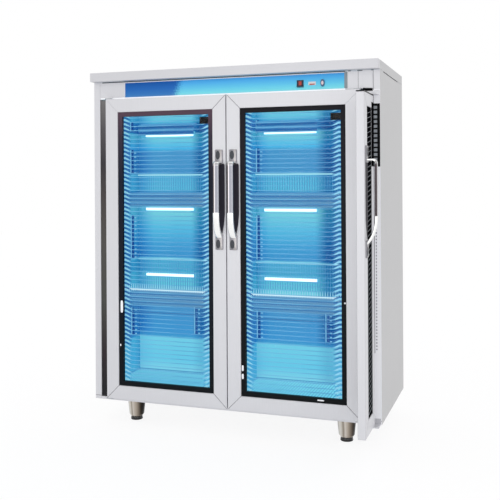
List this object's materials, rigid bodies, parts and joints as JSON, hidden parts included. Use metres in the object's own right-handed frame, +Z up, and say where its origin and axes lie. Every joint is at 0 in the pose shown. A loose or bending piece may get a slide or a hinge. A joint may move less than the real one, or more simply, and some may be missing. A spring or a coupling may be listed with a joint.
{
  "type": "dish sterilizer cabinet",
  "caption": "Free-standing steel cabinet with glazed hinged doors on lit ultraviolet bays, wire shelves, a narrow side door, a blue control strip and tapered legs.",
  "frame": {"origin": "floor level under the middle of the overall box, with the side door standing open as pictured", "axes": "+Z up, +X to the right seen from the front, +Y to the back; the doors face -Y"},
  "size_m": [1.2208, 0.7782, 1.45],
  "materials": {
    "pale_steel": "fine satin stainless sheet",
    "casing_steel": "satin stainless sheet",
    "leg_steel": "turned satin steel",
    "liner_steel": "bright stainless lit blue by the lamps",
    "shelf_chrome": "chromed wire",
    "handle_chrome": "mirror chrome",
    "dark_gloss": "gloss black coated frame",
    "black_rubber": "matt extruded rubber",
    "clear_glass": "clear toughened glass",
    "blue_film": "gloss overlay film, royal blue at the left turning cyan",
    "lamp_glass": "lit quartz tube with white end sockets",
    "black_plastic": "moulded black plastic",
    "switch_plastic": "dark switch body with a red lens",
    "lens_plastic": "white and red moulded plastic",
    "ballast_paint": "grey enamel"
  },
  "bodies": {
    "cabinet": {"left_side_casing": "casing_steel", "right_side_casing": "casing_steel", "rear_panel": "casing_steel", "base_tray": "casing_steel", "worktop": "pale_steel", "front_frame": "dark_gloss", "fascia_panel": "pale_steel", "control_film": "blue_film", "liner_floor": "liner_steel", "liner_left": "liner_steel", "liner_right": "liner_steel", "liner_back": "liner_steel", "liner_top": "liner_steel", "centre_partition": "liner_steel", "ballast_box": "ballast_paint", "cable_gland": "black_plastic", "front_left_leg": "leg_steel", "front_right_leg": "leg_steel", "rear_left_leg": "leg_steel", "rear_right_leg": "leg_steel", "left_top_pivot": "casing_steel", "left_bottom_pivot": "casing_steel", "right_top_pivot": "casing_steel", "right_bottom_pivot": "casing_steel", "side_top_pivot": "casing_steel", "side_bottom_pivot": "casing_steel", "left_upper_shelf": "shelf_chrome", "left_lower_shelf": "shelf_chrome", "left_floor_rack": "shelf_chrome", "right_upper_shelf": "shelf_chrome", "right_lower_shelf": "shelf_chrome", "right_floor_rack": "shelf_chrome", "left_lamp_1": "lamp_glass", "left_lamp_2": "lamp_glass", "left_lamp_3": "lamp_glass", "right_lamp_1": "lamp_glass", "right_lamp_2": "lamp_glass", "right_lamp_3": "lamp_glass", "indicator_lens": "lens_plastic"},
    "left_door": {"left_door_frame": "pale_steel", "left_door_seal": "black_rubber", "left_door_glass": "clear_glass", "left_door_handle": "handle_chrome", "left_door_sensor": "black_plastic"},
    "right_door": {"right_door_frame": "pale_steel", "right_door_seal": "black_rubber", "right_door_glass": "clear_glass", "right_door_handle": "handle_chrome", "right_door_sensor": "black_plastic"},
    "side_door": {"side_door_frame": "pale_steel", "side_door_seal": "black_rubber", "side_door_glass": "clear_glass", "side_door_cap": "black_rubber", "side_door_handle": "handle_chrome"},
    "rocker": {"power_rocker": "switch_plastic"},
    "button": {"lamp_button": "lens_plastic"},
    "front_left_foot": {"front_left_foot_pad": "black_rubber"},
    "front_right_foot": {"front_right_foot_pad": "black_rubber"},
    "rear_left_foot": {"rear_left_foot_pad": "black_rubber"},
    "rear_right_foot": {"rear_right_foot_pad": "black_rubber"}
  },
  "joints": [
    {"name": "left_door_hinge", "type": "hinge", "parent": "cabinet", "child": "left_door", "pos_m": [-0.5304, -0.19015, 0.7], "axis": [0, 0, -1], "range_deg": [0, 105]},
    {"name": "right_door_hinge", "type": "hinge", "parent": "cabinet", "child": "right_door", "pos_m": [0.5096, -0.19015, 0.7], "axis": [0, 0, 1], "range_deg": [0, 90]},
    {"name": "side_door_hinge", "type": "hinge", "parent": "cabinet", "child": "side_door", "pos_m": [0.5561, -0.22115, 0.7], "axis": [0, 0, 1], "range_deg": [-90, 90]},
    {"name": "rocker_tilt", "type": "hinge", "parent": "cabinet", "child": "rocker", "pos_m": [0.2836, -0.17015, 1.3719], "axis": [1, 0, 0], "range_deg": [0, 14]},
    {"name": "button_press", "type": "slide", "parent": "cabinet", "child": "button", "axis": [0, 1, 0], "range_m": [0, 0.003], "stiffness_N_per_m": 400},
    {"name": "front_left_foot_turn", "type": "hinge", "parent": "cabinet", "child": "front_left_foot", "pos_m": [-0.4604, -0.09415, 0.01], "axis": [0, 0, 1], "continuous": true},
    {"name": "front_right_foot_turn", "type": "hinge", "parent": "cabinet", "child": "front_right_foot", "pos_m": [0.4396, -0.09415, 0.01], "axis": [0, 0, 1], "continuous": true},
    {"name": "rear_left_foot_turn", "type": "hinge", "parent": "cabinet", "child": "rear_left_foot", "pos_m": [-0.4604, 0.29585, 0.01], "axis": [0, 0, 1], "continuous": true},
    {"name": "rear_right_foot_turn", "type": "hinge", "parent": "cabinet", "child": "rear_right_foot", "pos_m": [0.4396, 0.29585, 0.01], "axis": [0, 0, 1], "continuous": true}
  ]
}
